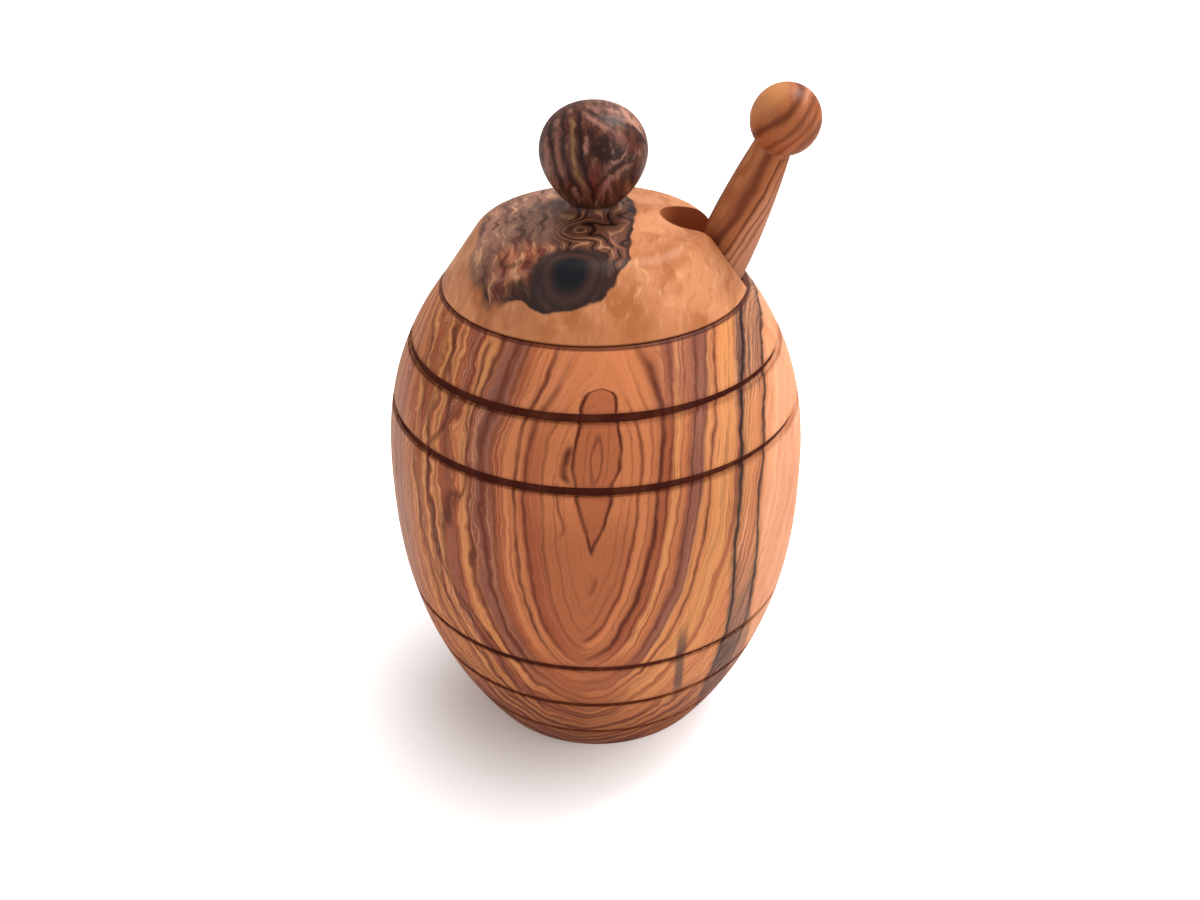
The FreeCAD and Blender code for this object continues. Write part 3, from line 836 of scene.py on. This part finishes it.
def burl_knot(wood, look, grain, tone):
    """The round blue-black knot with its halo and rings."""
    knot = gap(grain.x, grain.y, KNOT_CENTRE, KNOT_SQUASH) + grain.jagged * 0.4
    beyond = knot - look.knot_radius
    broken = (0.05 + grain.jagged * 0.35).most(0.0)
    return wood.coats(
        tone,
        (wood.fall(beyond, 2.5, 5), look.halo),
        (wood.near(beyond, 2.4, 1.4) * broken, look.mauve),
        (wood.near(beyond, 0.9, 2.4) * 0.09, look.mauve),
        (wood.fall(beyond, -1.2, 0.3), look.knot))


def knob_streaks(wood, look, u, v, tone):
    """The knob's streaks, each along a route of its own."""
    for name, width, share, level, points in KNOB_STREAKS:
        along, aside = (u, v) if level else (v, u)
        path = wood.route(along, KNOB_SPAN, KNOB_SPAN, points)
        ends = wood.band(along, points[0][0], points[-1][0], 1)
        streak = wood.near(aside - path, 0.0, width) * ends * share
        tone = wood.mix(streak, tone, getattr(look, name))
    return tone


def knob_wood(wood, look, grain):
    """The knob's burl, drawn on the plane that leans back, with u across it and v up it."""
    x, y, z = grain.x, grain.y, grain.z
    bow = wood.noise(x / 5 + 3, y / 5, z / 5, detail=1)
    small = wood.noise(x / 1.8, y / 1.8, z / 1.8)
    u = x + bow * 1.2 + small * 1.1
    v = (z - KNOB_HEIGHT) * LEAN_UP + y * LEAN_BACK + bow * 1.2 - small * 1.1

    fine = wood.noise(u * 0.9, v / 5, y / 8, detail=3)
    grit = wood.noise(u, v * 0.45, y / 5)
    # painted sheen: a mauve cast over the knob's top
    top = wood.rise(v + x * 0.35, 4.5, 6.5) * wood.rise(x, -3, 1)
    # painted sheen: the pinkish spot at the knob's upper right
    right = u - SHEEN_SPOT[0]
    blush = reach(right / 1.9, v - SHEEN_SPOT[1] + right * 0.7)
    swirl = reach((u - DARK_SPOT[0]) / 1.3, v - DARK_SPOT[1]) + small * 1.5
    mauve = gap(u, v, MAUVE_SPOT) + small * 2
    tone = wood.coats(
        look.burl,
        (wood.rise(fine, -0.15, 0.05), look.walnut),
        (wood.rise(fine, 0.05, 0.18) * 0.7, look.dark),
        (top * 0.55, look.mauve),
        (top * wood.rise(fine, -0.08, 0.04) * 0.7, look.walnut),
        (wood.fall(blush, 0.4, 2.6) * 0.85, look.blush),
        (wood.fall(swirl, 1.8, 3.2) * 0.9, look.dark),
        (wood.fall(mauve, 0.5, 2.2) * 0.45, look.mauve))
    return wood.coats(
        knob_streaks(wood, look, u, v, tone),
        (wood.rise(grit, 0.03, 0.14) * 0.55, look.dark),
        (wood.fall(grit, -0.24, -0.08) * 0.35, look.blush),
        # painted shade under the knob, above the neck
        (wood.fall(z, *UNDERSIDE_SHADE_END) * 0.7, look.dark))


def lid_cuts(wood, look, grain, tone):
    """The wood inside the slot is darker, and painted shade darkens the seam on the rim."""
    slot = reach((grain.x - SLOT_CENTRE).least(0.0), grain.y) - SLOT_RADIUS
    cut = wood.fall(slot, 0.0, 0.4) * wood.rise(grain.x, *SLOT_START)
    # painted shade along the seam where the lid sits on the rim
    seam = wood.fall(grain.z, *SEAM_SHADE_END)
    return wood.coats(tone, (cut * 0.9, look.cut), (seam * 0.75, look.seam))


def lid_finish(look):
    """Pale mottled wood with a dark burl round the knob, which is burl all through."""
    wood = Finish("lid_wood_finish")
    grain = lid_grain(wood)
    swirl = burl_swirls(wood, look, grain)
    swirl = burl_pocket(wood, look, grain, swirl)
    swirl = burl_edge(wood, look, grain, swirl)
    swirl = burl_knot(wood, look, grain, swirl)

    # a brown smear runs out past the burl's edge at the left
    smear = wood.fall(abs(grain.inside), 0.0, 4.5) * wood.fall(grain.x, -12, -6)
    smear = smear * wood.rise(grain.spokes, -0.15, 0.1)
    tone = wood.coats(
        pale_wood(wood, look, grain),
        (grain.burl, swirl),
        (smear * (1 - grain.burl) * 0.45, look.stain),
        (wood.rise(grain.z, *KNOB_START), knob_wood(wood, look, grain)))
    tone = lid_cuts(wood, look, grain, tone)
    wood.surface(tone, 0.44 + grain.cloud * 0.2)
    wood.relief(grain.wave * 0.2 * grain.burl + grain.fleck * 0.5, 0.2)
    return wood


# The dipper. Sizes are in millimetres from the middle of its ball, z up along the slanted streaks.
# Its streaks are (place, width, darkness): across the grip, and outwards over the ball's arcs.

GRIP_STREAKS = (
    (-4.8, 2.4, 0.6), (-0.4, 2.8, 0.75), (1.7, 1.1, 0.8), (3.6, 1.0, 0.7), (5.2, 1.2, 0.5))
BALL_STREAKS = ((10.8, 1.4, 0.6), (12.2, 1.0, 0.5), (13.6, 1.6, 0.6))
ARC_CENTRE = (-6, 5)
SHEEN_END = (-14, -8)
BALL_START = (-6.4, -5.6)


def dark_streaks(wood, look, value, streaks, tone):
    """Dark soft lines at their places along a value."""
    lines = [(wood.near(value, place, width) * share, look.streak)
             for place, width, share in streaks]
    return wood.coats(tone, *lines)


def grip_wood(wood, look, grain):
    """Streaks along the grip, with a pinkish sheen down its right side."""
    tone = wood.coats(
        look.light,
        (wood.rise(grain.streak, -0.16, 0.04), look.body),
        (wood.rise(grain.streak, 0.06, 0.2) * 0.7, look.streak),
        (wood.rise(grain.ring, 0.5, 4) * wood.fall(grain.z, *SHEEN_END) * 0.6, look.sheen))
    return dark_streaks(wood, look, grain.ring, GRIP_STREAKS, tone)


def ball_wood(wood, look, grain):
    """On the ball the streaks bend into arcs about a point high at the left."""
    u, back, up = wood.place(centre=BALL_CENTRE)
    v = up * LEAN_UP + back * LEAN_BACK
    arc = gap(u, v, ARC_CENTRE) + grain.ripple * 0.9 + grain.sway
    tone = wood.coats(
        look.light,
        (wood.rise(arc, 4, 7.4), look.body),
        (wood.near(arc, 8, 2.4) * 0.8, look.streak),
        (wood.near(arc, 9.4, 1.6) * wood.rise(v, -1, 3) * 0.8, look.sheen))
    tone = dark_streaks(wood, look, arc, BALL_STREAKS, tone)
    return wood.mix(wood.rise(grain.streak, 0.04, 0.2) * 0.3, tone, look.streak)


def dipper_finish(look):
    """Plain brown wood with streaks that cross the grip at a slant."""
    wood = Finish("dipper_wood_finish")
    x, y, z = wood.place(turn=(0, -DIPPER_LEAN - look.slant, 0), centre=BALL_CENTRE)
    sway = wood.noise(x / 6, y / 6, z / 22, detail=1)
    ripple = wood.noise(x / 2, y / 2, z / 5, detail=1)
    ring = x + y * 0.25 + sway * 3.5 + ripple
    streak = wood.noise(ring / 1.5, y / 12, z / 40, detail=3, rough=0.6)
    grain = SimpleNamespace(z=z, sway=sway, ripple=ripple, ring=ring, streak=streak)
    pore = wood.pores(x, y, z)
    tone = wood.coats(
        grip_wood(wood, look, grain),
        (wood.rise(z, *BALL_START), ball_wood(wood, look, grain)),
        (wood.rise(pore, 0.12, 0.3) * 0.25, look.streak))
    wood.surface(tone, 0.5 + streak * 0.2)
    wood.relief(pore * -0.5 + streak * 0.4, 0.25)
    return wood


class HONEYPOT_OT_barrel(bpy.types.Operator):
    """Gives the barrel its figured olive wood"""

    bl_idname = "honeypot.barrel"
    bl_label = "Finish Barrel"

    def execute(self, context):
        barrel_finish(context.scene.honeypot_barrel).dress(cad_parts["pot"])
        return {"FINISHED"}


class HONEYPOT_OT_lid(bpy.types.Operator):
    """Gives the lid its pale wood and its burl"""

    bl_idname = "honeypot.lid"
    bl_label = "Finish Lid"

    def execute(self, context):
        lid_finish(context.scene.honeypot_lid).dress(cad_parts["lid"])
        return {"FINISHED"}


class HONEYPOT_OT_dipper(bpy.types.Operator):
    """Gives the dipper its plain brown wood"""

    bl_idname = "honeypot.dipper"
    bl_label = "Finish Dipper"

    def execute(self, context):
        dipper_finish(context.scene.honeypot_dipper).dress(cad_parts["dipper"])
        return {"FINISHED"}


# The stage. The floor is in metres, its glow in millimetres, as the finishes are.

FLOOR_SIZE = 6
FLOOR_COLOUR = (0.85, 0.82, 0.805)
FLOOR_ROUGHNESS = 0.9
NO_GLOW = (0, 0, 0)
NEAR_GLOW = (0.13, 0.11, 0.1)
FAR_GLOW = (0.74, 0.72, 0.72)
GLOW_CENTRE = (-14, -12)
GLOW_REACH = (11, 48)

LAMP_AIM = (0, 0, 0.06)
LAMPS = (
    # name, width, place and tint
    ("key", 0.3, (0.33, 0.2, 0.75), (1.0, 0.97, 0.93)),
    ("side", 0.5, (0.8, -0.45, 0.3), (1.0, 0.98, 0.96)),
    ("left", 0.6, (-0.75, -0.5, 0.35), (1.0, 0.96, 0.95)),
)


def white_room(strength):
    """A world that lights evenly and looks white."""
    world = bpy.data.worlds.new("white_room")
    world.use_nodes = True
    room = NodeSheet(world.node_tree)
    seen = room.add("ShaderNodeLightPath", output="Is Camera Ray")
    shade = room.add("ShaderNodeMapRange", None, {"Value": seen, "To Min": strength, "To Max": 1.0})
    background = room.nodes["Background"]
    room.feed(background.inputs["Color"], (1, 1, 1, 1))
    room.feed(background.inputs["Strength"], shade)
    return world


def floor_paint():
    """Near-white paint that glows to white, less so where the pot's shadow falls."""
    white = Finish("floor_paint")
    white.surface((*FLOOR_COLOUR, 1), FLOOR_ROUGHNESS)
    seen = white.add("ShaderNodeLightPath", output="Is Camera Ray")
    x, y, _ = white.place()
    far = white.rise(gap(x, y, GLOW_CENTRE), *GLOW_REACH)
    glow = white.mix(seen, NO_GLOW, white.mix(far, NEAR_GLOW, FAR_GLOW))
    white.feed(white.shader.inputs["Emission Color"], glow)
    white.feed(white.shader.inputs["Emission Strength"], 1.0)
    return white


def lay_floor():
    """The floor that the pot stands on."""
    bpy.ops.object.select_all(action="DESELECT")
    bpy.ops.mesh.primitive_plane_add(size=FLOOR_SIZE)
    floor = bpy.context.active_object
    floor.name = "floor"
    floor_paint().dress(floor)


def hang_lamp(name, power, width, spot, tint):
    """A square soft lamp that points at the pot."""
    data = bpy.data.lights.new(name, "AREA")
    data.energy = power
    data.size = width
    data.color = tint
    lamp = bpy.data.objects.new(name, data)
    bpy.context.scene.collection.objects.link(lamp)
    lamp.location = spot
    lamp.rotation_euler = (Vector(spot) - Vector(LAMP_AIM)).to_track_quat("Z", "Y").to_euler()


def set_camera(look):
    """The camera in front of the pot, looking down at it."""
    data = bpy.data.cameras.new("camera")
    data.lens = look.lens
    camera = bpy.data.objects.new("camera", data)
    bpy.context.scene.collection.objects.link(camera)
    turn = (Matrix.Rotation(look.yaw, 4, "Z")
            @ Matrix.Rotation(math.pi / 2 - look.pitch, 4, "X")
            @ Matrix.Rotation(look.roll, 4, "Z"))
    camera.matrix_world = Matrix.Translation((0, -look.distance, look.height)) @ turn
    bpy.context.scene.camera = camera


class HONEYPOT_OT_stage(bpy.types.Operator):
    """Sets the white floor, the soft lamps and the camera"""

    bl_idname = "honeypot.stage"
    bl_label = "Set Stage"

    def execute(self, context):
        look = context.scene.honeypot_stage
        context.scene.view_settings.view_transform = "Standard"
        context.scene.world = white_room(look.room)
        lay_floor()
        for name, width, spot, tint in LAMPS:
            hang_lamp(name, getattr(look, name), width, spot, tint)
        set_camera(look)
        return {"FINISHED"}


STEPS = (HONEYPOT_OT_barrel, HONEYPOT_OT_lid, HONEYPOT_OT_dipper, HONEYPOT_OT_stage)
LOOKS = {"honeypot_barrel": BarrelLook, "honeypot_lid": LidLook,
         "honeypot_dipper": DipperLook, "honeypot_stage": StageLook}


class HONEYPOT_PT_panel(bpy.types.Panel):
    """Lists the steps of the honey pot and their settings"""

    bl_label = "Honey Pot"
    bl_idname = "HONEYPOT_PT_panel"
    bl_space_type = "VIEW_3D"
    bl_region_type = "UI"
    bl_category = "Honey Pot"

    def draw(self, context):
        for step, (name, group) in zip(STEPS, LOOKS.items()):
            box = self.layout.box()
            box.operator(step.bl_idname)
            for setting in group.__annotations__:
                box.prop(getattr(context.scene, name), setting)


CLASSES = (*LOOKS.values(), *STEPS, HONEYPOT_PT_panel)


def register():
    for kind in CLASSES:
        bpy.utils.register_class(kind)
    for name, look in LOOKS.items():
        setattr(bpy.types.Scene, name, PointerProperty(type=look))


def unregister():
    for name in LOOKS:
        delattr(bpy.types.Scene, name)
    for kind in reversed(CLASSES):
        bpy.utils.unregister_class(kind)


def main():
    register()
    bpy.ops.honeypot.barrel()
    bpy.ops.honeypot.lid()
    bpy.ops.honeypot.dipper()
    bpy.ops.honeypot.stage()


if __name__ == "__main__":
    main()
